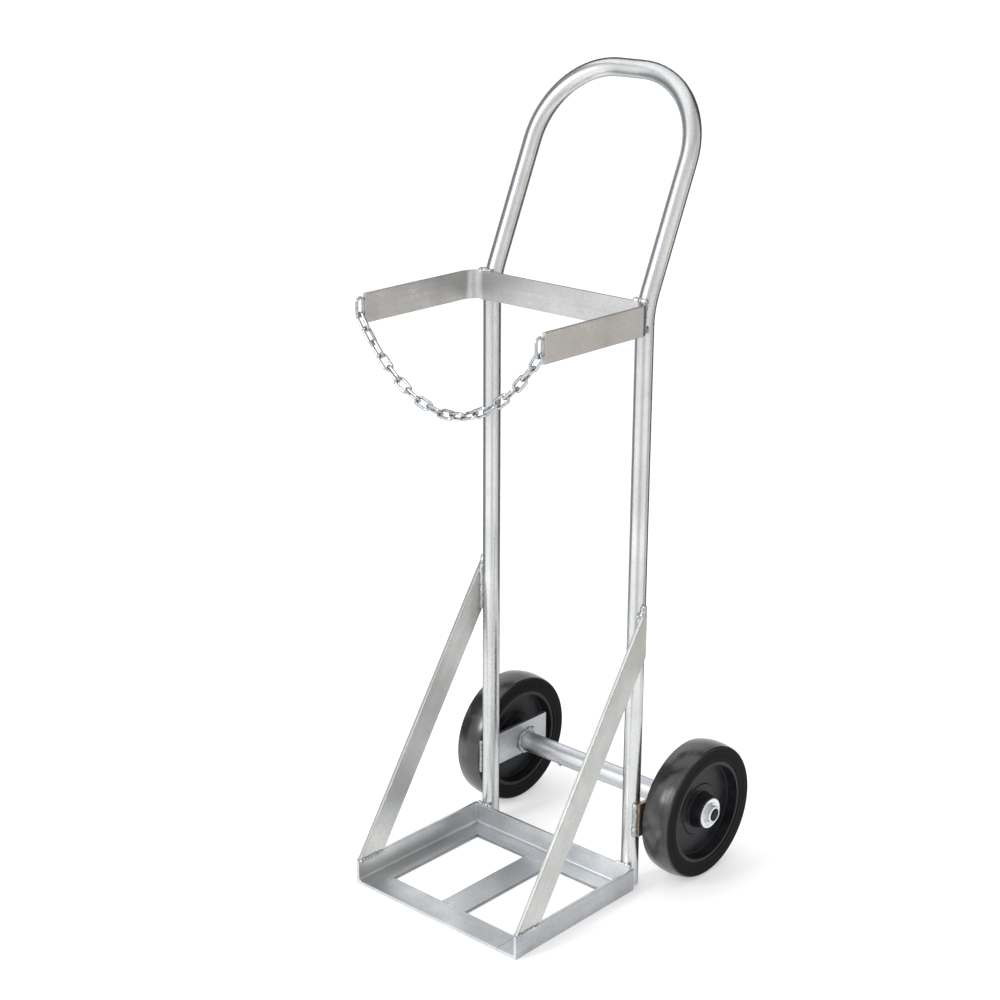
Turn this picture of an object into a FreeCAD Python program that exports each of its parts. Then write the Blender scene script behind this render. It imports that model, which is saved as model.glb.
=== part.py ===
import FreeCAD, Part
import math
import os

from FreeCAD import Placement, Rotation, Vector

# Gas cylinder trolley: a welded, plated steel frame on two wheels, with a hold-in chain.
# Millimetres, +Z up, the cylinder stands at the -Y side, the axle runs along X.
# The origin is the middle of the whole footprint, on the floor.

# Base frame: two side angles and a rear angle, with a front and a centre flat bar.
base_width = 305.0
base_depth = 250.0
angle_leg = 35.0
angle_thickness = 5.0
angle_root_radius = 4.0
angle_corner_radius = 2.5
front_flat_width = 40.0
centre_flat_width = 45.0
base_flat_thickness = 5.0

# Tube frame: one tube bent to a handle and two legs.
tube_diameter = 25.0
tube_wall = 2.0
leg_floor_gap = 2.0
leg_bend_height = 838.0
leg_bend_radius = 110.0
handle_rake = 24.0
handle_length = 312.0
handle_corner_radius = 113.0

# Cradle: a flat bar bent to a U that the cylinder leans into.
cradle_overhang = 5.5
cradle_arm_length = 212.0
cradle_bar_width = 40.0
cradle_bar_thickness = 5.0
cradle_inner_radius = 19.0
cradle_drop = 27.0

# Braces: flat bars from the front corners of the base up to the legs.
brace_width = 40.0
brace_thickness = 6.0
brace_tip_height = 428.0
brace_foot_inset = 2.0

# Axle brackets: flat bars that reach back from the legs.
bracket_width = 50.0
bracket_thickness = 6.0
bracket_below_axle = 18.0
bracket_lead = 5.0
bracket_tail = 46.0

# Axle: a hollow axle inside a sleeve that is welded between the brackets.
axle_behind_base = 106.0
axle_diameter = 25.0
axle_wall = 3.0
axle_end_length = 7.0
axle_chamfer = 0.8
sleeve_wall = 2.5
vent_hole_diameter = 5.0
vent_hole_offset = 67.0
vent_hole_angle = 48.0

# Wheels: a solid rubber tyre on a moulded rim that runs on a plain bush.
wheel_diameter = 200.0
tyre_width = 45.0
tyre_crown = 2.5
tyre_shoulder_radius = 4.0
rim_width = 43.0
rim_seat_diameter = 150.0
rim_lip_width = 5.0
rim_draft = 2.0
rim_web_thickness = 11.0
rim_collar_diameter = 74.0
rim_collar_height = 1.5
rim_fillet = 2.0
hub_length = 46.0
hub_end_diameter = 47.0
hub_root_diameter = 53.0
bush_wall = 2.5

# Washers and retaining rings on the axle ends.
outer_washer_diameter = 44.0
outer_washer_thickness = 3.0
inner_washer_diameter = 40.0
inner_washer_thickness = 2.0
ring_thickness = 1.8
ring_width = 3.6
ring_groove_depth = 0.8
ring_gap = 3.0
ring_lug_diameter = 6.0
ring_lug_hole = 2.0

# Chain: round wire links, the two end links welded to the arms of the cradle.
link_wire = 4.0
link_pitch = 20.8
link_inner_width = 7.0
link_slack = 0.2
end_link_rise = 2.5
chain_length_share = 1.25
chain_twist = 42.0
chain_twist_start_share = 0.05
chain_twist_end_share = 0.80

# Clearances.
running_clearance = 0.08
seat_clearance = 0.05
axial_play = 0.3
cut_overrun = 2.0

# Places that follow from the sizes above.
wheel_radius = wheel_diameter / 2
tube_radius = tube_diameter / 2
axle_radius = axle_diameter / 2
footprint_depth = base_depth + axle_behind_base + wheel_radius
base_front_y = -footprint_depth / 2
base_rear_y = base_front_y + base_depth
base_side_x = base_width / 2
leg_side_x = base_side_x - brace_thickness
leg_x = leg_side_x - tube_radius
leg_y = base_rear_y + tube_radius
axle_y = base_rear_y + axle_behind_base
axle_z = wheel_radius
bracket_outer_x = leg_side_x + bracket_thickness
hub_inner_x = bracket_outer_x + inner_washer_thickness + axial_play
wheel_centre_x = hub_inner_x + hub_length / 2
outer_washer_x = hub_inner_x + hub_length + axial_play
ring_x = outer_washer_x + outer_washer_thickness + seat_clearance
axle_end_x = outer_washer_x + outer_washer_thickness + axle_end_length
cradle_width = base_width + 2 * cradle_overhang
cradle_bottom_height = leg_bend_height - cradle_drop
arm_end_y = base_rear_y - cradle_arm_length
arm_centre_x = (cradle_width - cradle_bar_thickness) / 2

X_AXIS = Vector(1, 0, 0)
Y_AXIS = Vector(0, 1, 0)
Z_AXIS = Vector(0, 0, 1)


def rounded_wire(points, radii, closed):
    """Straight runs through the points, with a tangent arc of the given radius at each corner."""
    count = len(points)
    starts = []
    ends = []
    arcs = []
    for index, corner in enumerate(points):
        radius = radii[index]
        if radius == 0:
            starts.append(corner)
            ends.append(corner)
            arcs.append(None)
            continue
        before = (points[index - 1] - corner).normalize()
        after = (points[(index + 1) % count] - corner).normalize()
        half_angle = before.getAngle(after) / 2
        reach = radius / math.tan(half_angle)
        inset = radius / math.sin(half_angle) - radius
        middle = corner + (before + after).normalize() * inset
        starts.append(corner + before * reach)
        ends.append(corner + after * reach)
        arcs.append(Part.Arc(starts[index], middle, ends[index]).toShape())
    edges = []
    for index in range(count):
        if arcs[index]:
            edges.append(arcs[index])
        if closed or index < count - 1:
            edges.append(Part.makeLine(ends[index], starts[(index + 1) % count]))
    return Part.Wire(edges)


def block(low, high):
    """A box between two opposite corners."""
    size = high - low
    return Part.makeBox(size.x, size.y, size.z, low)


def revolved(wire):
    """A closed section, drawn beside the X axis, turned about the axle line."""
    solid = Part.Face(wire).revolve(Vector(), X_AXIS, 360)
    solid.translate(Vector(0, axle_y, axle_z))
    return solid


def turned(outline, radii=None):
    """A piece turned about the axle line, from points given as place along X and radius."""
    points = [Vector(along, 0, radius) for along, radius in outline]
    return revolved(rounded_wire(points, radii or [0] * len(points), True))


def ring(start, end, inner_radius, outer_radius):
    """A plain turned ring on the axle line."""
    return turned([(start, inner_radius), (start, outer_radius), (end, outer_radius), (end, inner_radius)])


def mirrored(shape):
    """The same piece on the other side of the trolley."""
    return shape.mirror(Vector(), X_AXIS)


def save(name, shape):
    """Writes one piece to its own file."""
    shape.exportStep(os.path.join("parts", name + ".step"))


def save_pair(name, right_shape):
    """Writes a piece of the right side and its mirror image of the left side."""
    save(name + "_right", right_shape)
    save(name + "_left", mirrored(right_shape))


def angle_bar(length):
    """An angle bar along +Y with its outer corner on the Y axis and its legs along +X and +Z."""
    points = [
        Vector(),
        Vector(angle_leg, 0, 0),
        Vector(angle_leg, 0, angle_thickness),
        Vector(angle_thickness, 0, angle_thickness),
        Vector(angle_thickness, 0, angle_leg),
        Vector(0, 0, angle_leg),
    ]
    radii = [angle_corner_radius, 0, 0, angle_root_radius, 0, 0]
    return Part.Face(rounded_wire(points, radii, True)).extrude(Y_AXIS * length)


def base_angles():
    """The left and the rear angle, mitred where they meet."""
    left = angle_bar(base_depth)
    left.translate(Vector(-base_side_x, base_front_y, 0))
    rear = angle_bar(base_width)
    rear.rotate(Vector(), Z_AXIS, -90)
    rear.translate(Vector(-base_side_x, base_rear_y, 0))
    rear_zone = [
        Vector(-base_side_x, base_rear_y, -cut_overrun),
        Vector(base_side_x, base_rear_y, -cut_overrun),
        Vector(0, base_rear_y - base_side_x, -cut_overrun),
    ]
    mitre = Part.Face(Part.makePolygon(rear_zone + rear_zone[:1]))
    mitre = mitre.extrude(Z_AXIS * (angle_leg + 2 * cut_overrun))
    return left.cut(mitre), rear.common(mitre)


def base_flats():
    """The front bar between the side angles and the centre bar behind it."""
    front_rear_y = base_front_y + front_flat_width
    front_end_x = base_side_x - angle_leg
    front = block(
        Vector(-front_end_x, base_front_y, 0),
        Vector(front_end_x, front_rear_y, base_flat_thickness),
    )
    centre = block(
        Vector(-centre_flat_width / 2, front_rear_y, 0),
        Vector(centre_flat_width / 2, base_rear_y - angle_leg, base_flat_thickness),
    )
    return front, centre


def frame_tube():
    """One tube: up the left leg, round the raked handle and down the right leg."""
    rake = math.radians(handle_rake)
    top_y = leg_y + handle_length * math.sin(rake)
    top_z = leg_bend_height + handle_length * math.cos(rake)
    path = rounded_wire(
        [
            Vector(-leg_x, leg_y, leg_floor_gap),
            Vector(-leg_x, leg_y, leg_bend_height),
            Vector(-leg_x, top_y, top_z),
            Vector(leg_x, top_y, top_z),
            Vector(leg_x, leg_y, leg_bend_height),
            Vector(leg_x, leg_y, leg_floor_gap),
        ],
        [0, leg_bend_radius, handle_corner_radius, handle_corner_radius, leg_bend_radius, 0],
        False,
    )
    foot = Vector(-leg_x, leg_y, leg_floor_gap)
    swept = []
    for radius in (tube_radius, tube_radius - tube_wall):
        circle = Part.Wire(Part.makeCircle(radius, foot, Z_AXIS))
        swept.append(path.makePipeShell([circle], True, False))
    return swept[0].cut(swept[1])


def cradle_band():
    """The U of flat bar, its back against the front of both legs."""
    outer_x = cradle_width / 2
    inner_x = outer_x - cradle_bar_thickness
    inner_y = base_rear_y - cradle_bar_thickness
    outer_radius = cradle_inner_radius + cradle_bar_thickness
    outline = [
        Vector(-outer_x, arm_end_y, cradle_bottom_height),
        Vector(-outer_x, base_rear_y, cradle_bottom_height),
        Vector(outer_x, base_rear_y, cradle_bottom_height),
        Vector(outer_x, arm_end_y, cradle_bottom_height),
        Vector(inner_x, arm_end_y, cradle_bottom_height),
        Vector(inner_x, inner_y, cradle_bottom_height),
        Vector(-inner_x, inner_y, cradle_bottom_height),
        Vector(-inner_x, arm_end_y, cradle_bottom_height),
    ]
    radii = [0, outer_radius, outer_radius, 0, 0, cradle_inner_radius, cradle_inner_radius, 0]
    return Part.Face(rounded_wire(outline, radii, True)).extrude(Z_AXIS * cradle_bar_width)


def brace():
    """The right brace: its foot on the side angle, its upper end cut upright beside the leg."""
    foot_y = base_front_y + brace_foot_inset
    slope = math.atan2(brace_tip_height - angle_leg, leg_y - foot_y)
    foot_length = brace_width / math.sin(slope)
    cut_length = brace_width / math.cos(slope)
    outline = [
        Vector(leg_side_x, foot_y, angle_leg),
        Vector(leg_side_x, foot_y + foot_length, angle_leg),
        Vector(leg_side_x, leg_y, brace_tip_height - cut_length),
        Vector(leg_side_x, leg_y, brace_tip_height),
    ]
    return Part.Face(Part.makePolygon(outline + outline[:1])).extrude(X_AXIS * brace_thickness)


def axle_bracket():
    """The right bracket, with a hole for the axle."""
    bottom_z = axle_z - bracket_below_axle
    bar = block(
        Vector(leg_side_x, leg_y - bracket_lead, bottom_z),
        Vector(bracket_outer_x, axle_y + bracket_tail, bottom_z + bracket_width),
    )
    hole = Part.makeCylinder(
        axle_radius + seat_clearance,
        bracket_thickness + 2 * cut_overrun,
        Vector(leg_side_x - cut_overrun, axle_y, axle_z),
        X_AXIS,
    )
    return bar.cut(hole)


def axle_sleeve():
    """The sleeve round the axle, between the brackets, with a vent hole low at the front."""
    inner_radius = axle_radius + seat_clearance
    outer_radius = inner_radius + sleeve_wall
    tilt = math.radians(vent_hole_angle)
    vent = Part.makeCylinder(
        vent_hole_diameter / 2,
        outer_radius + cut_overrun,
        Vector(-vent_hole_offset, axle_y, axle_z),
        Vector(0, -math.cos(tilt), -math.sin(tilt)),
    )
    return ring(-leg_side_x, leg_side_x, inner_radius, outer_radius).cut(vent)


def axle_tube():
    """The hollow axle, with a groove for the retaining ring near each end."""
    inner_radius = axle_radius - axle_wall
    groove_radius = axle_radius - ring_groove_depth
    groove_start = ring_x - seat_clearance
    groove_end = ring_x + ring_thickness + seat_clearance
    right_half = [
        (groove_start, axle_radius),
        (groove_start, groove_radius),
        (groove_end, groove_radius),
        (groove_end, axle_radius),
        (axle_end_x - axle_chamfer, axle_radius),
        (axle_end_x, axle_radius - axle_chamfer),
        (axle_end_x, inner_radius),
    ]
    left_half = [(-along, radius) for along, radius in reversed(right_half)]
    return turned(right_half + left_half)


def tyre():
    """The right tyre: flat side walls, round shoulders and a crowned tread."""
    half_width = tyre_width / 2
    seat_radius = rim_seat_diameter / 2 + seat_clearance
    tread_x = half_width - tyre_shoulder_radius
    tread_radius = wheel_radius - tyre_crown
    wall_radius = tread_radius - tyre_shoulder_radius
    bulge = tyre_shoulder_radius * math.sin(math.radians(45))

    def at(along, radius):
        return Vector(wheel_centre_x + along, 0, radius)

    edges = [
        Part.makeLine(at(-half_width, seat_radius), at(-half_width, wall_radius)),
        Part.Arc(
            at(-half_width, wall_radius),
            at(-tread_x - bulge, wall_radius + bulge),
            at(-tread_x, tread_radius),
        ).toShape(),
        Part.Arc(at(-tread_x, tread_radius), at(0, wheel_radius), at(tread_x, tread_radius)).toShape(),
        Part.Arc(
            at(tread_x, tread_radius),
            at(tread_x + bulge, wall_radius + bulge),
            at(half_width, wall_radius),
        ).toShape(),
        Part.makeLine(at(half_width, wall_radius), at(half_width, seat_radius)),
        Part.makeLine(at(half_width, seat_radius), at(-half_width, seat_radius)),
    ]
    return revolved(Part.Wire(edges))


def rim():
    """The right rim: tyre seat, a recess on each side, web, collar and hub."""
    bore_radius = axle_radius + running_clearance + bush_wall + seat_clearance
    seat_radius = rim_seat_diameter / 2
    lip_radius = seat_radius - rim_lip_width
    web_x = rim_web_thickness / 2
    collar_x = web_x + rim_collar_height
    collar_radius = rim_collar_diameter / 2
    outer_half = [
        (hub_length / 2, bore_radius),
        (hub_length / 2, hub_end_diameter / 2),
        (collar_x, hub_root_diameter / 2),
        (collar_x, collar_radius),
        (web_x, collar_radius + rim_collar_height),
        (web_x, lip_radius - rim_draft),
        (rim_width / 2, lip_radius),
        (rim_width / 2, seat_radius),
    ]
    half_radii = [0, 0, rim_fillet, 0, 0, rim_fillet, 0, 0]
    outline = [(wheel_centre_x + along, radius) for along, radius in outer_half]
    outline += [(wheel_centre_x - along, radius) for along, radius in reversed(outer_half)]
    return turned(outline, half_radii + half_radii[::-1])


def bush():
    """The right bush, as long as the hub."""
    inner_radius = axle_radius + running_clearance
    return ring(hub_inner_x, hub_inner_x + hub_length, inner_radius, inner_radius + bush_wall)


def washer(start, thickness, diameter):
    """A plain washer on the axle."""
    return ring(start, start + thickness, axle_radius + running_clearance, diameter / 2)


def retaining_ring():
    """The right retaining ring, open at the bottom, with a drilled lug at each end."""
    inner_radius = axle_radius - ring_groove_depth + seat_clearance
    outer_radius = inner_radius + ring_width
    lug_y = (ring_gap + ring_lug_diameter) / 2
    lug_z = -math.sqrt(outer_radius ** 2 - lug_y ** 2)
    body = ring(ring_x, ring_x + ring_thickness, inner_radius, outer_radius)
    holes = []
    for side in (-1, 1):
        lug_centre = Vector(ring_x, axle_y + side * lug_y, axle_z + lug_z)
        body = body.fuse(Part.makeCylinder(ring_lug_diameter / 2, ring_thickness, lug_centre, X_AXIS))
        holes.append(Part.makeCylinder(ring_lug_hole / 2, ring_thickness, lug_centre, X_AXIS))
    bore = Part.makeCylinder(inner_radius, ring_thickness, Vector(ring_x, axle_y, axle_z), X_AXIS)
    gap = block(
        Vector(ring_x, axle_y - ring_gap / 2, axle_z - outer_radius - ring_lug_diameter),
        Vector(ring_x + ring_thickness, axle_y + ring_gap / 2, axle_z),
    )
    return body.cut(holes + [bore, gap]).removeSplitter()


# Chain link measures: the bows are half circles whose centres lie on the link's long axis.
bow_radius = (link_inner_width + link_wire) / 2
bow_centre = (link_pitch - link_inner_width) / 2
chain_y = arm_end_y - link_wire / 2 - bow_radius
end_link_z = cradle_bottom_height + cradle_bar_width / 2 + end_link_rise
link_step = link_pitch - link_slack
link_lead = (link_inner_width - link_wire) / 2 - link_slack + bow_centre


def chain_link():
    """A closed link in the XY plane, its long axis along X, its middle at the origin."""
    pieces = []
    for side in (1, -1):
        corner = Vector(side * bow_centre, side * bow_radius, 0)
        section = Part.Face(Part.Wire(Part.makeCircle(link_wire / 2, corner, X_AXIS)))
        pieces.append(section.extrude(X_AXIS * (-side * 2 * bow_centre)))
        pieces.append(section.revolve(Vector(side * bow_centre, 0, 0), Z_AXIS, -180))
    return pieces[0].multiFuse(pieces[1:]).removeSplitter()


def placed_link(link, centre, direction, roll):
    """A copy of the link along the direction, rolled about it from face-on to the front."""
    upright = direction.cross(Y_AXIS)
    angle = math.radians(roll)
    normal = Y_AXIS * math.cos(angle) + upright * math.sin(angle)
    turn = Rotation(direction, normal.cross(direction), normal, "ZXY")
    copy = link.copy()
    copy.Placement = Placement(centre, turn)
    return copy


def half_span(slope_step, side_links):
    """How far the links of one side reach towards the middle of the chain."""
    reach = 0
    for index in range(side_links):
        reach += link_step * math.cos(math.atan(slope_step * (side_links - index)))
    return reach


def chain_slopes(side_links):
    """Slopes of one side's links: hanging freely, the slope grows evenly from the lowest link."""
    wanted = arm_centre_x - link_lead
    low = 0.0
    high = 1.0
    while half_span(high, side_links) > wanted:
        high *= 2
    for _ in range(60):
        middle = (low + high) / 2
        if half_span(middle, side_links) > wanted:
            low = middle
        else:
            high = middle
    return [high * (side_links - index) for index in range(side_links)]


def chain_places():
    """Centre and direction of each free link, from the left end to the right end."""
    span = 2 * arm_centre_x
    side_links = round((chain_length_share * span / link_step - 1) / 2)
    places = []
    eye = Vector(-arm_centre_x, chain_y, end_link_z - bow_centre - bow_radius)
    for slope in chain_slopes(side_links):
        direction = Vector(1, 0, -slope).normalize()
        places.append((eye + direction * link_lead, direction))
        eye = eye + direction * link_step
    right_side = []
    for centre, direction in reversed(places):
        right_side.append((Vector(-centre.x, centre.y, centre.z), Vector(direction.x, 0, -direction.z)))
    return places + [(Vector(0, chain_y, eye.z), X_AXIS)] + right_side


def chain_roll(index, count):
    """Every second link lies square to its neighbour, and the chain is twisted along its middle."""
    start = chain_twist_start_share * count
    end = chain_twist_end_share * count
    phase = min(max((index - start) / (end - start), 0), 1)
    return 90 * (index % 2) + chain_twist * math.sin(math.pi * phase)


os.makedirs("parts", exist_ok=True)

angle_left, angle_rear = base_angles()
save("base_angle_left", angle_left)
save("base_angle_right", mirrored(angle_left))
save("base_angle_rear", angle_rear)
front_flat, centre_flat = base_flats()
save("base_front_flat", front_flat)
save("base_centre_flat", centre_flat)
save("frame_tube", frame_tube())
save("cradle_band", cradle_band())
save_pair("brace", brace())

save_pair("axle_bracket", axle_bracket())
save("axle_sleeve", axle_sleeve())
save("axle_tube", axle_tube())

save_pair("tyre", tyre())
save_pair("rim", rim())
save_pair("bush", bush())
save_pair("inner_washer", washer(bracket_outer_x, inner_washer_thickness, inner_washer_diameter))
save_pair("outer_washer", washer(outer_washer_x, outer_washer_thickness, outer_washer_diameter))
save_pair("retaining_ring", retaining_ring())

link_shape = chain_link()
end_link_centre = Vector(arm_centre_x, chain_y, end_link_z)
save_pair("chain_end_link", placed_link(link_shape, end_link_centre, Z_AXIS, 90))
link_places = chain_places()
for index, (centre, direction) in enumerate(link_places):
    roll = chain_roll(index, len(link_places))
    save("chain_link_%02d" % (index + 1), placed_link(link_shape, centre, direction, roll))
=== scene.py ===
import math
import random

import bmesh
import bpy
from mathutils import Matrix, Vector


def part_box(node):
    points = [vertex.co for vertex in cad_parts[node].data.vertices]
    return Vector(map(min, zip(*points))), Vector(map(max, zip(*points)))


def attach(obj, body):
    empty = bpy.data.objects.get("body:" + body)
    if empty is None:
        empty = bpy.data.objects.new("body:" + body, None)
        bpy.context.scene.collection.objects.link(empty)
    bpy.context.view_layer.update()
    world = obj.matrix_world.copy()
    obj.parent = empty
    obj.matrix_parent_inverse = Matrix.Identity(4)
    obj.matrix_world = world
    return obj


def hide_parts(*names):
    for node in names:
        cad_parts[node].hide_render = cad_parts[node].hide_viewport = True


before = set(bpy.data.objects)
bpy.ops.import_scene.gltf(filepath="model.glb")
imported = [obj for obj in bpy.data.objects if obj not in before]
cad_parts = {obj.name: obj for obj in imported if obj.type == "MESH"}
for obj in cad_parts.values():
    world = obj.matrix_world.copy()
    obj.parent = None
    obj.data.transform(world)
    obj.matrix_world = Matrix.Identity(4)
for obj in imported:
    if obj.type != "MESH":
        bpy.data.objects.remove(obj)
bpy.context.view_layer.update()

# Base: two side angle bars, a rear angle bar and two flat bars of hot rolled mild steel, sawn to length,
# welded to a tray and zinc plated as a whole. Rolling leaves rounded edges and fine lines along each bar.

MM = 0.001
BAR_EDGE_RADIUS = 0.9 * MM
SHARP_ANGLE = math.radians(35)
FLAT_ANGLE = math.radians(0.3)
SAME_POINT = 0.001 * MM
GLANCING_COLOUR = "#DDDFE1"
CLOUD_PART = 0.5
MOTTLE_PART = 0.25
LINE_PART = 0.25


def hex_colour(text):
    """An sRGB hex colour as linear RGBA."""
    shares = [int(text[start:start + 2], 16) / 255 for start in (1, 3, 5)]
    linear = [s / 12.92 if s <= 0.04045 else ((s + 0.055) / 1.055) ** 2.4 for s in shares]
    return (*linear, 1.0)


def add_node(tree, kind, inputs, **settings):
    """Adds a node with its settings; inputs holds plain values and the sockets to link from."""
    node = tree.nodes.new(kind)
    for name, value in settings.items():
        setattr(node, name, value)
    for name, value in inputs.items():
        if isinstance(value, bpy.types.NodeSocket):
            tree.links.new(value, node.inputs[name])
        else:
            node.inputs[name].default_value = value
    return node


def spacing(size):
    """The scale of a pattern whose features are this many millimetres apart."""
    return 1 / (size * MM)


def zinc_plated_steel(name, dark, light, roughness, grain, glancing=GLANCING_COLOUR, tilt=0.0):
    """Zinc plated rolled steel: a silver grey that is a little cloudy, with faint lines along the rolling
    direction and patches that are more matt. The lines are drawn 1.5 mm apart, coarser than they are, so
    that they show. The metal takes on the glancing colour where it is seen edge on."""
    material = bpy.data.materials.new(name)
    material.use_nodes = True
    tree = material.node_tree
    shader = tree.nodes["Principled BSDF"]
    place = add_node(tree, "ShaderNodeTexCoord", {}).outputs["Object"]
    clouds = add_node(tree, "ShaderNodeTexNoise", {"Vector": place, "Scale": spacing(60), "Detail": 3.0})
    mottle = add_node(tree, "ShaderNodeTexNoise", {"Vector": place, "Scale": spacing(4), "Detail": 3.0})
    turned = add_node(tree, "ShaderNodeMapping", {"Vector": place, "Rotation": (tilt, 0.0, 0.0)})
    stretched = add_node(tree, "ShaderNodeMapping", {"Vector": turned.outputs[0], "Scale": grain})
    lines = add_node(
        tree, "ShaderNodeTexNoise", {"Vector": stretched.outputs[0], "Scale": 1.0, "Detail": 2.0},
    )
    cloudy = add_node(
        tree, "ShaderNodeMath", {0: clouds.outputs["Fac"], 1: CLOUD_PART}, operation="MULTIPLY",
    )
    mottled = add_node(
        tree, "ShaderNodeMath",
        {0: mottle.outputs["Fac"], 1: MOTTLE_PART, 2: cloudy.outputs[0]}, operation="MULTIPLY_ADD",
    )
    tone = add_node(
        tree, "ShaderNodeMath",
        {0: lines.outputs["Fac"], 1: LINE_PART, 2: mottled.outputs[0]}, operation="MULTIPLY_ADD",
    )
    share = add_node(
        tree, "ShaderNodeMapRange", {"Value": tone.outputs[0], "From Min": 0.36, "From Max": 0.64},
    )
    colour = add_node(
        tree, "ShaderNodeMix",
        {0: share.outputs["Result"], 6: hex_colour(dark), 7: hex_colour(light)}, data_type="RGBA",
    )
    matt = add_node(
        tree, "ShaderNodeMapRange",
        {"Value": share.outputs["Result"], "To Min": roughness[1], "To Max": roughness[0]},
    )
    relief = add_node(
        tree, "ShaderNodeBump", {"Height": lines.outputs["Fac"], "Strength": 0.12, "Distance": 0.1 * MM},
    )
    tree.links.new(colour.outputs[2], shader.inputs["Base Color"])
    tree.links.new(matt.outputs["Result"], shader.inputs["Roughness"])
    tree.links.new(relief.outputs["Normal"], shader.inputs["Normal"])
    shader.inputs["Metallic"].default_value = 1.0
    shader.inputs["Specular Tint"].default_value = hex_colour(glancing)
    return material


def new_piece(name, builder, material, body, slot, *nodes):
    """Makes a piece of a finished bmesh, with its finish, its body and the nodes that it stands for."""
    mesh = bpy.data.meshes.new(name)
    builder.to_mesh(mesh)
    builder.free()
    mesh.materials.append(material)
    piece = bpy.data.objects.new(name, mesh)
    bpy.context.scene.collection.objects.link(piece)
    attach(piece, body)
    if nodes:
        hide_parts(*nodes)
    return piece


def rounded_piece(node, radius, material, body, slot):
    """A piece that stands for a node, with whole flat faces and rounded sharp edges."""
    builder = bmesh.new()
    builder.from_mesh(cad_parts[node].data)
    bmesh.ops.remove_doubles(builder, verts=builder.verts, dist=SAME_POINT)
    bmesh.ops.dissolve_limit(builder, angle_limit=FLAT_ANGLE, verts=builder.verts, edges=builder.edges)
    sharp = [edge for edge in builder.edges if edge.is_manifold and edge.calc_face_angle() > SHARP_ANGLE]
    bmesh.ops.bevel(
        builder, geom=sharp, offset=radius, offset_type="OFFSET", segments=2, profile=0.5,
        affect="EDGES", clamp_overlap=True, material=-1,
    )
    for face in builder.faces:
        face.smooth = True
    piece = new_piece(node + "_finished", builder, material, body, slot, node)
    piece.modifiers.new("even_shading", "WEIGHTED_NORMAL").keep_sharp = True
    return piece


def finish_faces(piece, material, chosen):
    """Gives those faces of a piece that are chosen a finish of their own."""
    piece.data.materials.append(material)
    for face in piece.data.polygons:
        if chosen(face):
            face.material_index = len(piece.data.materials) - 1


ACROSS = spacing(1.5)
ALONG = spacing(150)
GRAIN_ALONG_X = (ALONG, ACROSS, ACROSS)
GRAIN_ALONG_Y = (ACROSS, ALONG, ACROSS)
GRAIN_LEVEL = (ALONG, ALONG, ACROSS)
bar_along_x = zinc_plated_steel(
    "zinc_plated_bar_along_x", "#C0C2C4", "#DADCDD", roughness=(0.33, 0.44), grain=GRAIN_ALONG_X,
)
bar_along_y = zinc_plated_steel(
    "zinc_plated_bar_along_y", "#C0C2C4", "#DADCDD", roughness=(0.33, 0.44), grain=GRAIN_ALONG_Y,
)
# A darker, more matt copy of the bar finish, used as painted shade on faces turned from the light.
bar_shade_painted = zinc_plated_steel(
    "zinc_plated_bar_painted_darker", "#A4A6A9", "#C0C2C4", roughness=(0.36, 0.48), grain=GRAIN_ALONG_Y,
)
# A darker, more matt copy of the bar finish, painted shade for the low edges next to the floor.
low_edge_painted_shade = zinc_plated_steel(
    "zinc_plated_low_edge_shaded", "#818385", "#9FA1A3", roughness=(0.45, 0.60), grain=GRAIN_LEVEL,
)
FACING = 0.5
SHADED_EDGE_TOP = 4.9 * MM
OUTSIDE_DEPTH = 2 * MM
LEFT = Vector((-1, 0, 0))
RIGHT = Vector((1, 0, 0))
FORWARD = Vector((0, -1, 0))
BACK = Vector((0, 1, 0))
base_pieces = {}
for bar, finish, openings in (
    ("base_angle_left", bar_along_y, (RIGHT,)),
    ("base_angle_right", bar_along_y, (LEFT,)),
    ("base_angle_rear", bar_along_x, (FORWARD,)),
    ("base_front_flat", bar_along_x, (BACK,)),
    ("base_centre_flat", bar_along_y, (RIGHT, LEFT)),
):
    base_pieces[bar] = rounded_piece(bar, BAR_EDGE_RADIUS, finish, "frame", "plated_steel")
    # The narrow edges round the two openings lie next to the floor; their darker finish is painted shade.
    finish_faces(
        base_pieces[bar], low_edge_painted_shade,
        lambda face: face.center.z < SHADED_EDGE_TOP and any(face.normal.dot(way) > FACING for way in openings),
    )
# The outside of the right angle gets a darker, more matt copy of the bar finish: painted shade on the side
# turned from the light.
outside_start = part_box("base_angle_right")[1].x - OUTSIDE_DEPTH
finish_faces(
    base_pieces["base_angle_right"], bar_shade_painted,
    lambda face: face.normal.dot(RIGHT) > FACING and face.center.x > outside_start,
)

# Tube frame: one length of welded precision steel tube, bent cold to two legs and a raked handle.
# It is zinc plated with the base, and its smoother surface comes out brighter than the bars.

TUBE_ALONG = spacing(220)


def finish_node(node, material):
    """Gives a node that keeps its CAD shape its finish."""
    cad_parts[node].data.materials.clear()
    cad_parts[node].data.materials.append(material)


tube_finish = zinc_plated_steel(
    "zinc_plated_drawn_tube", "#C2C3C3", "#DADAD9", roughness=(0.20, 0.30),
    grain=(ACROSS, ACROSS, TUBE_ALONG), glancing="#8A8E92",
)
finish_node("frame_tube", tube_finish)

# Cradle: a flat steel bar bent cold to a U, which the cylinder leans into.
# It is welded to the front of both legs and plated with them.

cradle_finish = zinc_plated_steel(
    "zinc_plated_cradle_bar", "#B9B9B8", "#D3D3D2", roughness=(0.25, 0.35), grain=GRAIN_LEVEL,
)
rounded_piece("cradle_band", BAR_EDGE_RADIUS, cradle_finish, "frame", "plated_steel")

# Braces: flat steel bars from the front corners of the base to the legs, sawn at a slant at both ends.
# They stand on the side angles and lie against the outside of the legs, welded at both ends.

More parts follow.
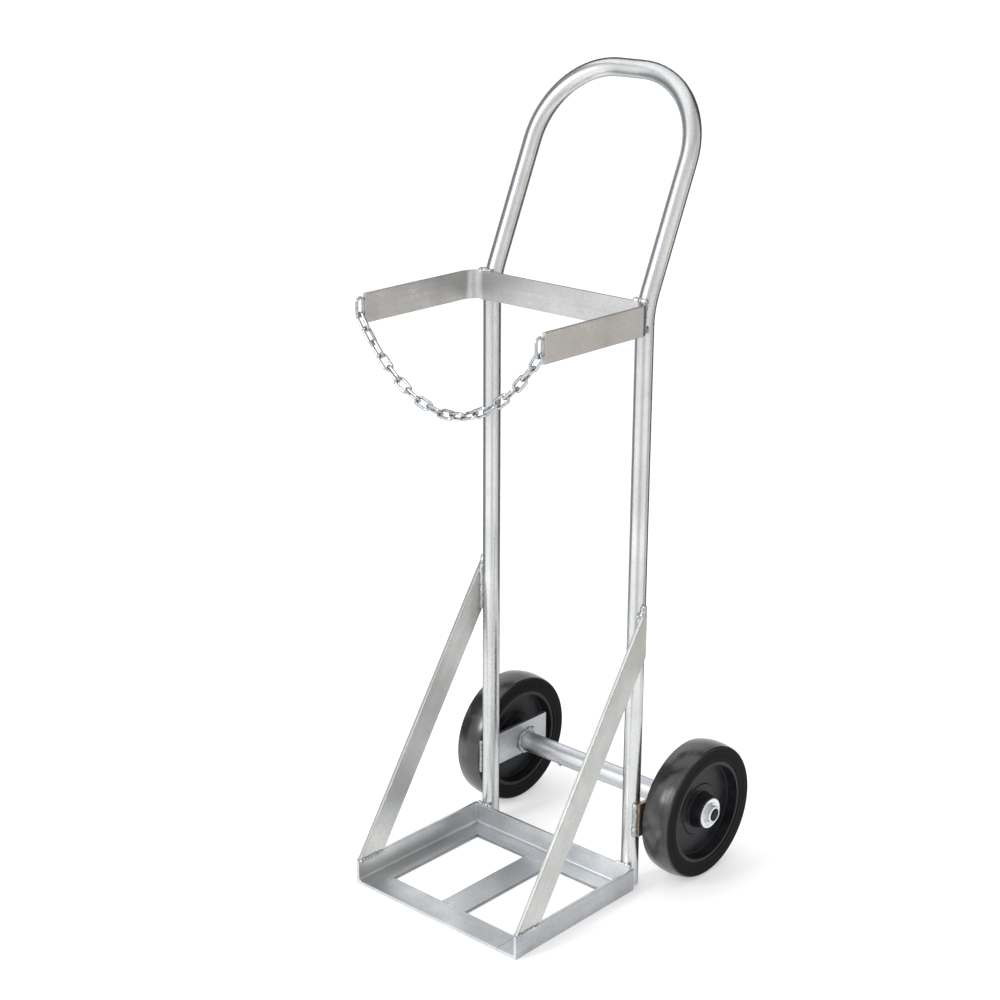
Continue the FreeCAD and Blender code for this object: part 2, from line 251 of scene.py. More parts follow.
BRACE_EDGE_FACING = 0.3
brace_low, brace_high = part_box("brace_right")
brace_slope = math.atan2(brace_high.z - brace_low.z, brace_high.y - brace_low.y)
# A darker, rougher copy of the brace finish, painted shade for the front edges.
brace_edge_shade_painted = zinc_plated_steel(
    "zinc_plated_brace_edge_painted_shade", "#9A9B99", "#B0B1AE", roughness=(0.36, 0.46), grain=GRAIN_ALONG_Y,
    tilt=-brace_slope,
)
# The left brace gets lighter tones than the right, painted light that lifts its inner face, which turns from
# the light.
for brace, dark, light in (("brace_left", "#BEBFBD", "#D6D7D4"), ("brace_right", "#B4B5B3", "#CDCECB")):
    brace_finish = zinc_plated_steel(
        "zinc_plated_" + brace, dark, light, roughness=(0.30, 0.40), grain=GRAIN_ALONG_Y, tilt=-brace_slope,
    )
    brace_piece = rounded_piece(brace, BAR_EDGE_RADIUS, brace_finish, "frame", "plated_steel")
    # The rolled front edge is rougher than the faces, and its darker colour is painted shade that tones down
    # the light it catches.
    finish_faces(brace_piece, brace_edge_shade_painted, lambda face: face.normal.dot(FORWARD) > BRACE_EDGE_FACING)

# Axle brackets: short flat steel bars, sawn off square and drilled for the axle.
# They are welded to the outside of the legs and reach back behind them.

bracket_finish = zinc_plated_steel(
    "zinc_plated_bracket_heat_tinted", "#B4B6B8", "#D6D8D9", roughness=(0.38, 0.52), grain=GRAIN_ALONG_Y,
)
# The weld's heat has left the front of the right bracket straw brown, fading towards the axle.
HEAT_COLOUR = "#EBD7B8"
HEAT_FULL_Y = 46 * MM
HEAT_GONE_Y = 92 * MM
bracket_tree = bracket_finish.node_tree
bracket_colour = bracket_tree.nodes["Principled BSDF"].inputs["Base Color"]
bracket_place = add_node(bracket_tree, "ShaderNodeTexCoord", {}).outputs["Object"]
bracket_depth = add_node(bracket_tree, "ShaderNodeSeparateXYZ", {0: bracket_place}).outputs["Y"]
heat_share = add_node(
    bracket_tree, "ShaderNodeMapRange",
    {"Value": bracket_depth, "From Min": HEAT_GONE_Y, "From Max": HEAT_FULL_Y},
    interpolation_type="SMOOTHSTEP",
)
heat_tint = add_node(
    bracket_tree, "ShaderNodeMix",
    {0: heat_share.outputs["Result"], 6: bracket_colour.links[0].from_socket, 7: hex_colour(HEAT_COLOUR)},
    data_type="RGBA", blend_type="MULTIPLY",
)
bracket_tree.links.new(heat_tint.outputs[2], bracket_colour)
# The left bracket takes the darker copy of the bar finish, painted shade on the face it turns from the
# light.
rounded_piece("axle_bracket_left", BAR_EDGE_RADIUS, bar_shade_painted, "frame", "plated_steel")
rounded_piece("axle_bracket_right", BAR_EDGE_RADIUS, bracket_finish, "frame", "plated_steel")

# Axle sleeve: a length of drawn steel tube between the brackets, welded to both and drilled for venting.
# The axle goes through it.

sleeve_finish = zinc_plated_steel(
    "zinc_plated_sleeve", "#D6D8DA", "#ECEDEF", roughness=(0.30, 0.40),
    grain=(TUBE_ALONG, ACROSS, ACROSS), glancing="#80858A",
)
finish_node("axle_sleeve", sleeve_finish)

# Weld beads: drops of filler metal that ran together along each joint of the welded frame.
# They were plated with it, so they are silver too, only lumpier and more matt than the bars.

WELD_VOXEL = 0.7 * MM
DROP_DRIFT = 0.22
DROP_SMALLEST = 0.82
DROP_LARGEST = 1.15
welder = random.Random(7)


def weld_row(builder, start, end, size, step=0.6):
    """Lays drops of filler from start to end, each a little off the line, all in millimetres.
    Size is the radius of a drop, and step is the way from one drop to the next, counted in such radii."""
    way = Vector(end) - Vector(start)
    count = max(1, round(way.length / (size * step)))
    for number in range(count + 1):
        drift = Vector([welder.uniform(-DROP_DRIFT, DROP_DRIFT) * size for axis in range(3)])
        place = Vector(start) + way * (number / count) + drift
        bmesh.ops.create_icosphere(
            builder, subdivisions=2, radius=size * welder.uniform(DROP_SMALLEST, DROP_LARGEST) * MM,
            matrix=Matrix.Translation(place * MM),
        )


def upright_row(builder, x, y, low, high, size, step=0.6):
    """Lays a weld row straight up a seam, from one height to the other."""
    weld_row(builder, (x, y, low), (x, y, high), size, step)


def weld_piece(name, builder):
    """Melts the drops of a group of beads together."""
    piece = new_piece(name, builder, weld_finish, "frame", "plated_steel")
    melt = piece.modifiers.new("melt", "REMESH")
    melt.mode = "VOXEL"
    melt.voxel_size = WELD_VOXEL
    melt.use_smooth_shade = True
    soften = piece.modifiers.new("soften", "SMOOTH")
    soften.factor = 0.5
    soften.iterations = 2


def box_mm(node):
    """The lowest and the highest corner of a node's box, in millimetres."""
    return [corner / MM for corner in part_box(node)]


weld_finish = zinc_plated_steel(
    "zinc_plated_weld_metal", "#8E9092", "#DCDEDE", roughness=(0.30, 0.48),
    grain=(spacing(2), spacing(2), spacing(2)),
)

# The faces that the beads lie against, in millimetres. The filler stands a little proud of them or sinks in.
BAR_WALL = 5
TUBE_RADIUS = 12.5
angle_low, angle_high = box_mm("base_angle_right")
side_x = round(angle_high.x, 1)
front_y = round(angle_low.y, 1)
rear_y = round(angle_high.y, 1)
upstand_top = round(angle_high.z, 1)
flat_end_x = round(angle_low.x, 1)
centre_low, centre_high = box_mm("base_centre_flat")
centre_front_y = round(centre_low.y, 1)
centre_rear_y = round(centre_high.y, 1)
flat_top = round(centre_high.z, 1)
seam_z = flat_top - 0.5
leg_side_x = round(box_mm("frame_tube")[1].x, 1)
leg_x = leg_side_x - TUBE_RADIUS
leg_y = rear_y + TUBE_RADIUS
band_low, band_high = box_mm("cradle_band")
band_back_y = round(band_high.y, 1)
brace_top = box_mm("brace_right")[1].z
bracket_low, bracket_high = box_mm("axle_bracket_right")
sleeve_low, sleeve_high = box_mm("axle_sleeve")
sleeve_radius = (sleeve_high.z - sleeve_low.z) / 2
axle_y = round((sleeve_low.y + sleeve_high.y) / 2, 1)
axle_z = round((sleeve_low.z + sleeve_high.z) / 2, 1)

MITRE_START = 7.5
MITRE_END = 33.5
BRACE_SEAM_LOW = 352
SLEEVE_BEAD_RADIUS = 16
SLEEVE_BEAD_DROPS = 20
VENT_RUN_X = -70.2
base_welds = bmesh.new()
cradle_welds = bmesh.new()
brace_welds = bmesh.new()
bracket_welds = bmesh.new()
for side in (-1, 1):
    # Rear corners of the base: upright seams inside and outside the mitre and one across the flats.
    inside_x = side * (side_x - BAR_WALL - 0.5)
    inside_y = rear_y - BAR_WALL - 0.4
    upright_row(base_welds, inside_x, inside_y, flat_top + 1, upstand_top - 1, 1.4)
    upright_row(base_welds, side * (side_x - 0.9), rear_y - 0.9, flat_top - 1, upstand_top - 0.5, 1.2)
    weld_row(
        base_welds, (side * (side_x - MITRE_START), rear_y - MITRE_START, seam_z),
        (side * (side_x - MITRE_END), rear_y - MITRE_END, seam_z), 0.9,
    )
    # Ends of the front bar against the side angles.
    weld_row(
        base_welds, (side * flat_end_x, front_y + 2, seam_z),
        (side * flat_end_x, centre_front_y - 2, seam_z), 0.9, step=0.9,
    )
    # Feet of the legs: along the top of the rear angle and up both sides of the touching line.
    weld_row(
        base_welds, (side * leg_x - 11, rear_y - 0.4, upstand_top + 0.4),
        (side * leg_x + 11, rear_y - 0.4, upstand_top + 0.4), 3.0, step=0.8,
    )
    for beside in (-8.5, 8.5):
        upright_row(base_welds, side * leg_x + beside, rear_y + 1.6, flat_top + 1, upstand_top - 1, 1.7)
    # Cradle against the legs: beside the touching line, in the gap at the top and under the bottom edge.
    inner_x = side * (leg_x - 7)
    outer_x = side * (leg_x + 9)
    lower_x = side * (leg_x + 11.5)
    weld_row(
        cradle_welds, (inner_x, band_back_y + 1, band_low.z + 2),
        (inner_x, band_back_y + 2, band_high.z - 4), 2.1,
    )
    weld_row(
        cradle_welds, (outer_x, band_back_y - 0.2, band_low.z + 14),
        (outer_x, band_back_y + 0.8, band_high.z - 3), 3.2,
    )
    weld_row(
        cradle_welds, (outer_x, band_back_y - 1.4, band_low.z + 3),
        (outer_x, band_back_y - 0.6, band_low.z + 14), 2.2,
    )
    weld_row(
        cradle_welds, (inner_x, band_back_y + 1.6, band_high.z - 0.4),
        (outer_x, band_back_y + 0.4, band_high.z - 0.4), 3.9, step=0.9,
    )
    weld_row(
        cradle_welds, (inner_x, band_back_y + 1, band_low.z), (outer_x, band_back_y, band_low.z), 2.2,
    )
    weld_row(
        cradle_welds, (lower_x, band_back_y + 4.5, band_low.z - 1),
        (lower_x, band_back_y + 5, band_low.z + 6), 1.8,
    )
    # Braces against the legs: in front of the touching line, at the tip and behind it.
    upright_row(
        brace_welds, side * (leg_side_x - 1.6), leg_y - 8.9, BRACE_SEAM_LOW, brace_top - 12, 3.6, step=1.0,
    )
    weld_row(
        brace_welds, (side * (leg_side_x - 0.3), leg_y - 8, brace_top - 20),
        (side * (leg_side_x + 1.5), leg_y - 1.5, brace_top - 1), 4.2, step=0.8,
    )
    upright_row(
        brace_welds, side * (leg_side_x + 0.9), leg_y + 0.5, BRACE_SEAM_LOW + 10, brace_top - 3, 1.7,
    )
    # Feet of the braces on the side angles, each a row of separate drops inside and outside.
    foot_inside_x = side * (leg_side_x - 0.5)
    foot_outside_x = side * (side_x + 0.3)
    weld_row(
        brace_welds, (foot_inside_x, front_y + 5, upstand_top),
        (foot_inside_x, front_y + 46, upstand_top), 3.2, step=1.6,
    )
    weld_row(
        brace_welds, (foot_outside_x, front_y + 5, upstand_top),
        (foot_outside_x, front_y + 45, upstand_top), 2.8, step=1.7,
    )
    # Brackets against the legs: in front of the touching line, heavier on the right, and behind it.
    upright_row(
        bracket_welds, side * (leg_side_x + 0.1), leg_y - 7.7, bracket_low.z + 3, bracket_high.z - 3,
        3.0 + side * 0.8, step=0.8,
    )
    upright_row(
        bracket_welds, side * (leg_side_x - 1.5), leg_y + 6.9, bracket_low.z + 2, bracket_high.z - 2, 2.4,
    )
    # A bead round each end of the sleeve, heavier at the top.
    sleeve_end = Vector((side * (sleeve_high.x - 0.6), axle_y, axle_z))
    for drop in range(SLEEVE_BEAD_DROPS):
        turn = 2 * math.pi * drop / SLEEVE_BEAD_DROPS
        rim_point = sleeve_end + SLEEVE_BEAD_RADIUS * Vector((0, math.cos(turn), math.sin(turn)))
        weld_row(bracket_welds, rim_point, rim_point, 3.5)
    weld_row(
        bracket_welds, sleeve_end + Vector((0, 3, 17)), sleeve_end + Vector((0, 14, 17)), 3.2, step=1.0,
    )
# A run of zinc that froze beside the sleeve's vent hole, thicker towards its lower end.
for run_angle in range(30, 59, 7):
    fall = math.radians(run_angle)
    run_y = axle_y - sleeve_radius * math.cos(fall)
    run_z = axle_z - sleeve_radius * math.sin(fall)
    weld_row(bracket_welds, (VENT_RUN_X, run_y, run_z), (VENT_RUN_X, run_y, run_z), 0.9 + run_angle / 50)
# Both ends of the centre bar, nearly to its edges.
centre_x = round(centre_high.x, 1) - 1.5
weld_row(base_welds, (-centre_x, centre_front_y, seam_z), (centre_x, centre_front_y, seam_z), 1.2)
weld_row(base_welds, (-centre_x, centre_rear_y, seam_z), (centre_x, centre_rear_y, seam_z), 1.0)
weld_piece("base_weld_beads", base_welds)
weld_piece("cradle_weld_beads", cradle_welds)
weld_piece("brace_weld_beads", brace_welds)
weld_piece("bracket_weld_beads", bracket_welds)

# Axle: a hollow drawn steel tube, zinc plated like the sleeve, with a groove turned near each end.
# It goes through the sleeve, the brackets and the wheels.

finish_node("axle_tube", sleeve_finish)

# Washers: pressed steel rings on both sides of each hub, barrel plated with bright zinc.
# The rounded edges come from the press and from tumbling in the barrel.

INNER_WASHER_EDGE_RADIUS = 0.3 * MM
OUTER_WASHER_EDGE_RADIUS = 0.5 * MM


def bright_zinc(name, dark, light, roughness):
    """Barrel plated bright zinc: nearly a mirror with a bluish cast, dulled in small spots by handling."""
    material = bpy.data.materials.new(name)
    material.use_nodes = True
    tree = material.node_tree
    shader = tree.nodes["Principled BSDF"]
    place = add_node(tree, "ShaderNodeTexCoord", {}).outputs["Object"]
    spots = add_node(tree, "ShaderNodeTexNoise", {"Vector": place, "Scale": spacing(3), "Detail": 4.0})
    share = add_node(
        tree, "ShaderNodeMapRange", {"Value": spots.outputs["Fac"], "From Min": 0.35, "From Max": 0.65},
    )
    colour = add_node(
        tree, "ShaderNodeMix",
        {0: share.outputs["Result"], 6: hex_colour(dark), 7: hex_colour(light)}, data_type="RGBA",
    )
    matt = add_node(
        tree, "ShaderNodeMapRange",
        {"Value": share.outputs["Result"], "To Min": roughness[1], "To Max": roughness[0]},
    )
    dents = add_node(
        tree, "ShaderNodeBump", {"Height": spots.outputs["Fac"], "Strength": 0.15, "Distance": 0.1 * MM},
    )
    tree.links.new(colour.outputs[2], shader.inputs["Base Color"])
    tree.links.new(matt.outputs["Result"], shader.inputs["Roughness"])
    tree.links.new(dents.outputs["Normal"], shader.inputs["Normal"])
    shader.inputs["Metallic"].default_value = 1.0
    shader.inputs["Specular Tint"].default_value = hex_colour("#B4B8BC")
    return material


washer_finish = bright_zinc("bright_zinc_washer", "#DCDEE1", "#F0F1F2", roughness=(0.26, 0.40))
for side in ("left", "right"):
    rounded_piece("inner_washer_" + side, INNER_WASHER_EDGE_RADIUS, washer_finish, "frame", "bright_zinc")
    rounded_piece("outer_washer_" + side, OUTER_WASHER_EDGE_RADIUS, washer_finish, "frame", "bright_zinc")

# Rims: injection moulded black polypropylene, dished on both sides round a web, with a hub in the middle.
# The edges have the small radius that a mould needs.

RIM_EDGE_RADIUS = 0.7 * MM
rim_finish = bpy.data.materials.new("moulded_black_polypropylene")
rim_finish.use_nodes = True
rim_tree = rim_finish.node_tree
rim_shader = rim_tree.nodes["Principled BSDF"]
# A black with a soft satin gloss, a fine moulded texture and a little grey dust.
rim_place = add_node(rim_tree, "ShaderNodeTexCoord", {}).outputs["Object"]
rim_dust = add_node(
    rim_tree, "ShaderNodeTexNoise", {"Vector": rim_place, "Scale": spacing(22), "Detail": 5.0},
)
rim_grain = add_node(
    rim_tree, "ShaderNodeTexNoise", {"Vector": rim_place, "Scale": spacing(0.8), "Detail": 2.0},
)
rim_share = add_node(
    rim_tree, "ShaderNodeMapRange", {"Value": rim_dust.outputs["Fac"], "From Min": 0.40, "From Max": 0.72},
)
rim_colour = add_node(
    rim_tree, "ShaderNodeMix",
    {0: rim_share.outputs["Result"], 6: hex_colour("#1A1B1E"), 7: hex_colour("#2A2B2E")}, data_type="RGBA",
)
rim_matt = add_node(
    rim_tree, "ShaderNodeMapRange", {"Value": rim_share.outputs["Result"], "To Min": 0.34, "To Max": 0.50},
)
rim_relief = add_node(
    rim_tree, "ShaderNodeBump",
    {"Height": rim_grain.outputs["Fac"], "Strength": 0.12, "Distance": 0.05 * MM},
)
rim_tree.links.new(rim_colour.outputs[2], rim_shader.inputs["Base Color"])
rim_tree.links.new(rim_matt.outputs["Result"], rim_shader.inputs["Roughness"])
rim_tree.links.new(rim_relief.outputs["Normal"], rim_shader.inputs["Normal"])
rim_shader.inputs["IOR"].default_value = 1.49
rim_shader.inputs["Specular IOR Level"].default_value = 0.24
for side in ("left", "right"):
    rounded_piece("rim_" + side, RIM_EDGE_RADIUS, rim_finish, "wheel_" + side, "rim_plastic")

# Tyres: solid black rubber, moulded in a ring with a crowned tread and pulled on to the rims.
# A fine raised line goes round each side wall, where the two halves of the mould met the core.

TREAD_START = 94 * MM
TREAD_BLEND = 3 * MM
STREAK_STRETCH = 0.06
MOULD_LINE_RADIUS = 84 * MM
MOULD_LINE_THICKNESS = 0.3 * MM
MOULD_LINE_STEPS = 128
axle_low, axle_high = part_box("axle_tube")
axle_centre = (axle_low + axle_high) / 2

rubber = bpy.data.materials.new("moulded_black_rubber")
rubber.use_nodes = True
rubber_tree = rubber.node_tree
rubber_shader = rubber_tree.nodes["Principled BSDF"]
# A dull black on the walls. Rolling has polished the tread and pressed pale brown dust into it in streaks.
rubber_place = add_node(rubber_tree, "ShaderNodeTexCoord", {}).outputs["Object"]
from_axle = add_node(
    rubber_tree, "ShaderNodeMapping",
    {"Vector": rubber_place, "Location": (0.0, -axle_centre.y, -axle_centre.z), "Scale": (0.0, 1.0, 1.0)},
)
wheel_distance = add_node(
    rubber_tree, "ShaderNodeVectorMath", {0: from_axle.outputs[0]}, operation="LENGTH",
)
tread_share = add_node(
    rubber_tree, "ShaderNodeMapRange",
    {
        "Value": wheel_distance.outputs["Value"],
        "From Min": TREAD_START,
        "From Max": TREAD_START + TREAD_BLEND,
    },
)
smears = add_node(
    rubber_tree, "ShaderNodeTexNoise", {"Vector": rubber_place, "Scale": spacing(28), "Detail": 5.0},
)
streak_place = add_node(
    rubber_tree, "ShaderNodeMapping",
    {"Vector": rubber_place, "Scale": (1.0, STREAK_STRETCH, STREAK_STRETCH)},
)
streaks = add_node(
    rubber_tree, "ShaderNodeTexNoise",
    {"Vector": streak_place.outputs[0], "Scale": spacing(4), "Detail": 3.0},
)
smear_share = add_node(
    rubber_tree, "ShaderNodeMapRange", {"Value": smears.outputs["Fac"], "From Min": 0.44, "From Max": 0.64},
)
streak_share = add_node(
    rubber_tree, "ShaderNodeMapRange",
    {"Value": streaks.outputs["Fac"], "From Min": 0.30, "From Max": 0.70, "To Min": 0.35},
)
dust = add_node(
    rubber_tree, "ShaderNodeMath",
    {0: smear_share.outputs["Result"], 1: streak_share.outputs["Result"]}, operation="MULTIPLY",
)
dust_share = add_node(
    rubber_tree, "ShaderNodeMath",
    {0: dust.outputs[0], 1: tread_share.outputs["Result"]}, operation="MULTIPLY",
)
rubber_colour = add_node(
    rubber_tree, "ShaderNodeMix",
    {0: dust_share.outputs[0], 6: hex_colour("#09090B"), 7: hex_colour("#3A3836")}, data_type="RGBA",
)
clean_matt = add_node(
    rubber_tree, "ShaderNodeMapRange",
    {"Value": tread_share.outputs["Result"], "To Min": 0.58, "To Max": 0.21},
)
rubber_matt = add_node(
    rubber_tree, "ShaderNodeMath",
    {0: dust_share.outputs[0], 1: 0.10, 2: clean_matt.outputs["Result"]}, operation="MULTIPLY_ADD",
)
rubber_gloss = add_node(
    rubber_tree, "ShaderNodeMapRange",
    {"Value": tread_share.outputs["Result"], "To Min": 0.10, "To Max": 0.85},
)
rubber_grain = add_node(
    rubber_tree, "ShaderNodeTexNoise", {"Vector": rubber_place, "Scale": spacing(1.2), "Detail": 3.0},
)
rubber_relief = add_node(
    rubber_tree, "ShaderNodeBump",
    {"Height": rubber_grain.outputs["Fac"], "Strength": 0.12, "Distance": 0.1 * MM},
)
rubber_tree.links.new(rubber_colour.outputs[2], rubber_shader.inputs["Base Color"])
rubber_tree.links.new(rubber_matt.outputs[0], rubber_shader.inputs["Roughness"])
rubber_tree.links.new(rubber_relief.outputs["Normal"], rubber_shader.inputs["Normal"])
rubber_tree.links.new(rubber_gloss.outputs["Result"], rubber_shader.inputs["Specular IOR Level"])
rubber_shader.inputs["IOR"].default_value = 1.52

for side in ("left", "right"):
    tyre = "tyre_" + side
    finish_node(tyre, rubber)
    tyre_low, tyre_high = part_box(tyre)
    mould_lines = bmesh.new()
    for wall_x in (tyre_low.x, tyre_high.x):
        start = Vector((wall_x, axle_centre.y, axle_centre.z + MOULD_LINE_RADIUS))
        bead = bmesh.ops.create_circle(
            mould_lines, segments=8, radius=MOULD_LINE_THICKNESS,
            matrix=Matrix.Translation(start) @ Matrix.Rotation(math.pi / 2, 4, "X"),
        )
        bead_edges = list(dict.fromkeys(edge for vert in bead["verts"] for edge in vert.link_edges))
        bmesh.ops.spin(
            mould_lines, geom=bead["verts"] + bead_edges, cent=axle_centre, axis=(1, 0, 0),
            angle=2 * math.pi, steps=MOULD_LINE_STEPS, use_merge=True, use_duplicate=False,
        )
    bmesh.ops.remove_doubles(mould_lines, verts=mould_lines.verts, dist=0.01 * MM)
    bmesh.ops.recalc_face_normals(mould_lines, faces=mould_lines.faces)
    for face in mould_lines.faces:
        face.smooth = True
    new_piece(tyre + "_mould_lines", mould_lines, rubber, "wheel_" + side, "tyre_rubber")

# Bushes: plain bearings of natural nylon, pressed into the hubs, which run on the axle.
# Only their ends show, between the hub and the washers.

bush_finish = bpy.data.materials.new("turned_natural_nylon")
bush_finish.use_nodes = True
bush_tree = bush_finish.node_tree
bush_shader = bush_tree.nodes["Principled BSDF"]
# A milky ivory with a waxy gloss and faint tool marks.
bush_place = add_node(bush_tree, "ShaderNodeTexCoord", {}).outputs["Object"]
bush_marks = add_node(
    bush_tree, "ShaderNodeTexNoise", {"Vector": bush_place, "Scale": spacing(2), "Detail": 3.0},
)
bush_colour = add_node(
    bush_tree, "ShaderNodeMix",
    {0: bush_marks.outputs["Fac"], 6: hex_colour("#C9C2AE"), 7: hex_colour("#DDD7C6")}, data_type="RGBA",
)
bush_matt = add_node(
    bush_tree, "ShaderNodeMapRange", {"Value": bush_marks.outputs["Fac"], "To Min": 0.30, "To Max": 0.50},
)
bush_tree.links.new(bush_colour.outputs[2], bush_shader.inputs["Base Color"])
bush_tree.links.new(bush_matt.outputs["Result"], bush_shader.inputs["Roughness"])
for side in ("left", "right"):
    finish_node("bush_" + side, bush_finish)

# Retaining rings: stamped spring steel, opened with pliers at the two drilled lugs and let into the grooves.
# They are zinc plated like the washers that they hold on.

RING_EDGE_RADIUS = 0.25 * MM
for side in ("left", "right"):
    rounded_piece("retaining_ring_" + side, RING_EDGE_RADIUS, washer_finish, "frame", "bright_zinc")

# Chain: steel wire bent to short links and butt welded, then barrel plated with bright zinc.
# The last link at each end is welded to the end of the cradle's arm.

LINK_SEAM_LOW = 827
LINK_SEAM_HIGH = 841
chain_finish = bright_zinc("bright_zinc_chain", "#A6A8AA", "#CBCDCE", roughness=(0.15, 0.27))
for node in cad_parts:
    if node.startswith("chain_"):
        finish_node(node, chain_finish)
end_link_welds = bmesh.new()
for side in (-1, 1):
    link_x = side * (band_high.x - BAR_WALL / 2)
    upright_row(end_link_welds, link_x, band_low.y - 0.3, LINK_SEAM_LOW, LINK_SEAM_HIGH, 1.7)
weld_piece("end_link_weld_beads", end_link_welds)

# Camera: where the photographer stood, to the right of the front and a little above the handle.
# A long lens looks down at the middle of the trolley, so that the uprights draw together only slightly.

VIEW_AZIMUTH = math.radians(42.24)
VIEW_ELEVATION = math.radians(18.78)
VIEW_DISTANCE = 2.6413
VIEW_ROLL = math.radians(0.256)
VIEW_TARGET = Vector((0.0091, -0.1054, 0.5832))
LENS_PER_SENSOR_WIDTH = 1.9952
camera = bpy.data.objects.new("camera", bpy.data.cameras.new("camera"))
bpy.context.scene.collection.objects.link(camera)
bpy.context.scene.camera = camera
backward = Vector((
    math.sin(VIEW_AZIMUTH) * math.cos(VIEW_ELEVATION),
    -math.cos(VIEW_AZIMUTH) * math.cos(VIEW_ELEVATION),
    math.sin(VIEW_ELEVATION),
))
camera.matrix_world = (
    Matrix.Translation(VIEW_TARGET + backward * VIEW_DISTANCE)
    @ backward.to_track_quat("Z", "Y").to_matrix().to_4x4()
    @ Matrix.Rotation(VIEW_ROLL, 4, "Z")
)
camera.data.sensor_width = 36.0
camera.data.lens = LENS_PER_SENSOR_WIDTH * camera.data.sensor_width
bpy.context.scene.view_settings.view_transform = "Standard"

# Floor: plain white studio paper, rolled out far enough that its edge is never in the picture.
# It is matt and keeps the trolley's soft shadow.

FLOOR_RADIUS = 60.0
PAPER_GLOW = 0.40
floor_builder = bmesh.new()
bmesh.ops.create_circle(floor_builder, cap_ends=True, segments=128, radius=FLOOR_RADIUS)
floor_mesh = bpy.data.meshes.new("floor")
floor_builder.to_mesh(floor_mesh)
floor_builder.free()
floor = bpy.data.objects.new("floor", floor_mesh)
bpy.context.scene.collection.objects.link(floor)
floor_finish = bpy.data.materials.new("white_paper")
floor_finish.use_nodes = True
floor_tree = floor_finish.node_tree
floor_shader = floor_tree.nodes["Principled BSDF"]
floor_shader.inputs["Base Color"].default_value = hex_colour("#DCDCDC")
floor_shader.inputs["Roughness"].default_value = 0.9
floor_shader.inputs["Specular IOR Level"].default_value = 0.0
# A little of the paper's white is its own light to the lens and in the metal, so faint shadows burn out.
ray = add_node(floor_tree, "ShaderNodeLightPath", {}).outputs
seen = add_node(
    floor_tree, "ShaderNodeMath", {0: ray["Is Camera Ray"], 1: ray["Is Glossy Ray"]}, operation="MAXIMUM",
)
seen = add_node(
    floor_tree, "ShaderNodeMath", {0: seen.outputs[0], 1: ray["Is Transmission Ray"]}, operation="MAXIMUM",
)
glow = add_node(floor_tree, "ShaderNodeMath", {0: seen.outputs[0], 1: PAPER_GLOW}, operation="MULTIPLY")
floor_tree.links.new(glow.outputs[0], floor_shader.inputs["Emission Strength"])
floor_shader.inputs["Emission Color"].default_value = hex_colour("#FFFFFF")
floor_mesh.materials.append(floor_finish)

# Light: a wide soft lamp overhead, a tall soft box on the camera's left and the white walls of the studio.
# Above the walls the studio is brightest on the camera's left and greyer and warmer on the other side,
# which shapes the metal.

LAMP_LEFT = 0.35
LAMP_AHEAD = 0.45
LAMP_HEIGHT = 1.2
SOFT_BOX_LEFT = 1.8
SOFT_BOX_NEARER = 1.2
SOFT_BOX_HEIGHT = 1.65
WALL_TOP = 0.22
CEILING_START = 0.60
camera_left = Vector((-math.cos(VIEW_AZIMUTH), -math.sin(VIEW_AZIMUTH), 0.0))
camera_ahead = Vector((-math.sin(VIEW_AZIMUTH), math.cos(VIEW_AZIMUTH), 0.0))
lamp = bpy.data.objects.new("key_lamp", bpy.data.lights.new("key_lamp", "SUN"))
bpy.context.scene.collection.objects.link(lamp)
lamp_place = camera_left * LAMP_LEFT + camera_ahead * LAMP_AHEAD + Vector((0.0, 0.0, LAMP_HEIGHT))
lamp.rotation_euler = lamp_place.to_track_quat("Z", "Y").to_euler()
lamp.data.energy = 0.55
lamp.data.angle = math.radians(90)

soft_box = bpy.data.objects.new("soft_box", bpy.data.lights.new("soft_box", "AREA"))
bpy.context.scene.collection.objects.link(soft_box)
soft_box_place = camera_left * SOFT_BOX_LEFT - camera_ahead * SOFT_BOX_NEARER
soft_box.location = soft_box_place + Vector((0.0, 0.0, SOFT_BOX_HEIGHT))
soft_box.rotation_euler = soft_box_place.to_track_quat("Z", "Y").to_euler()
soft_box.data.shape = "RECTANGLE"
soft_box.data.size = 0.5
soft_box.data.size_y = 1.3
soft_box.data.energy = 30

world = bpy.data.worlds.new("studio")
bpy.context.scene.world = world
world.use_nodes = True
world_tree = world.node_tree
sky_place = add_node(world_tree, "ShaderNodeTexCoord", {}).outputs["Generated"]
sky_side = add_node(
    world_tree, "ShaderNodeVectorMath", {0: sky_place, 1: camera_left}, operation="DOT_PRODUCT",
)
sky_share = add_node(
    world_tree, "ShaderNodeMapRange",
    {"Value": sky_side.outputs["Value"], "From Min": -1.2, "From Max": 0.6}, interpolation_type="SMOOTHSTEP",
)
sky_colour = add_node(
    world_tree, "ShaderNodeMix",
    {0: sky_share.outputs["Result"], 6: hex_colour("#9E9A95"), 7: hex_colour("#F4F6FA")}, data_type="RGBA",
)
sky_height = add_node(world_tree, "ShaderNodeSeparateXYZ", {0: sky_place}).outputs["Z"]
wall_share = add_node(
    world_tree, "ShaderNodeMapRange",
    {"Value": sky_height, "From Min": WALL_TOP, "From Max": CEILING_START}, interpolation_type="SMOOTHSTEP",
)
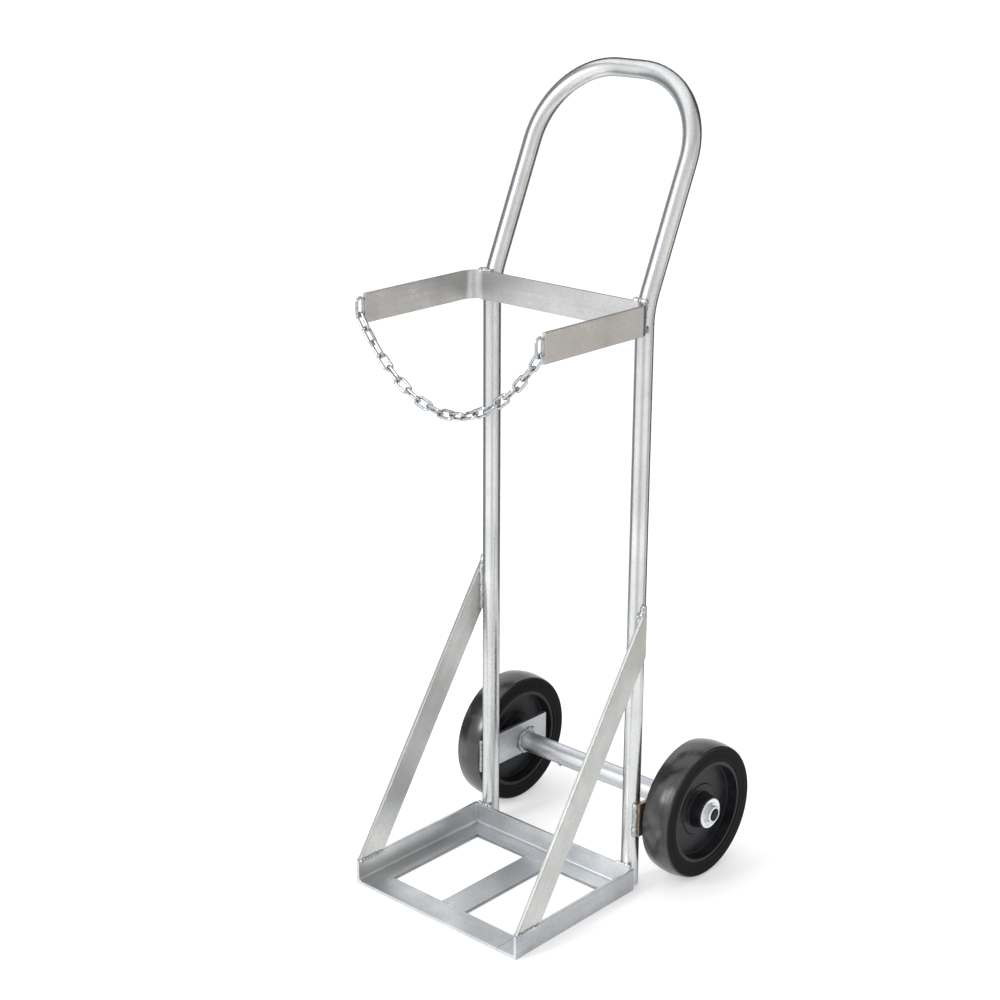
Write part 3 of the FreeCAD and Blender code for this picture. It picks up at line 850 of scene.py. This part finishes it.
room_colour = add_node(
    world_tree, "ShaderNodeMix",
    {0: wall_share.outputs["Result"], 6: hex_colour("#F6F6F6"), 7: sky_colour.outputs[2]}, data_type="RGBA",
)
world_tree.links.new(room_colour.outputs[2], world_tree.nodes["Background"].inputs["Color"])
world_tree.nodes["Background"].inputs["Strength"].default_value = 1.15

# Cards: grey boards that stand round the trolley, out of the picture, as beside any bright metal on white.
# Only mirror images show them: the dark ones draw the tubes' edges and the pale ones the stripes between.

CARD_DISTANCE = 0.87
# Each card has its bearing in degrees to the right of straight ahead, its width, its lower and upper edge
# in metres and its colour.
for bearing, width, low, high, colour in (
    (-62, 0.75, 0.0, 1.8, "#9BA1A4"),
    (57, 0.60, 0.0, 1.8, "#444445"),
    (98, 0.38, 0.0, 1.8, "#C9C1B7"),
    (180, 0.60, 0.0, 1.8, "#F2F2F2"),
    (0, 1.40, 1.35, 1.95, "#5A5C5E"),
    (0, 0.50, 1.10, 1.35, "#4A4C4E"),
):
    card_finish = bpy.data.materials.new("matt_card")
    card_finish.use_nodes = True
    card_shader = card_finish.node_tree.nodes["Principled BSDF"]
    card_shader.inputs["Base Color"].default_value = hex_colour(colour)
    card_shader.inputs["Roughness"].default_value = 0.9
    card_bearing = math.radians(bearing)
    card_side = camera_ahead * math.cos(card_bearing) - camera_left * math.sin(card_bearing)
    card_place = Matrix.Translation(card_side * CARD_DISTANCE + Vector((0.0, 0.0, (low + high) / 2)))
    card_turn = card_side.to_track_quat("Z", "Y").to_matrix().to_4x4()
    card_builder = bmesh.new()
    bmesh.ops.create_grid(
        card_builder, x_segments=1, y_segments=1, size=0.5,
        matrix=card_place @ card_turn @ Matrix.Diagonal((width, high - low, 1.0, 1.0)),
    )
    card_mesh = bpy.data.meshes.new("card")
    card_builder.to_mesh(card_mesh)
    card_builder.free()
    card_mesh.materials.append(card_finish)
    card = bpy.data.objects.new("card", card_mesh)
    bpy.context.scene.collection.objects.link(card)
    card.visible_camera = False
    card.visible_diffuse = False
    card.visible_shadow = False
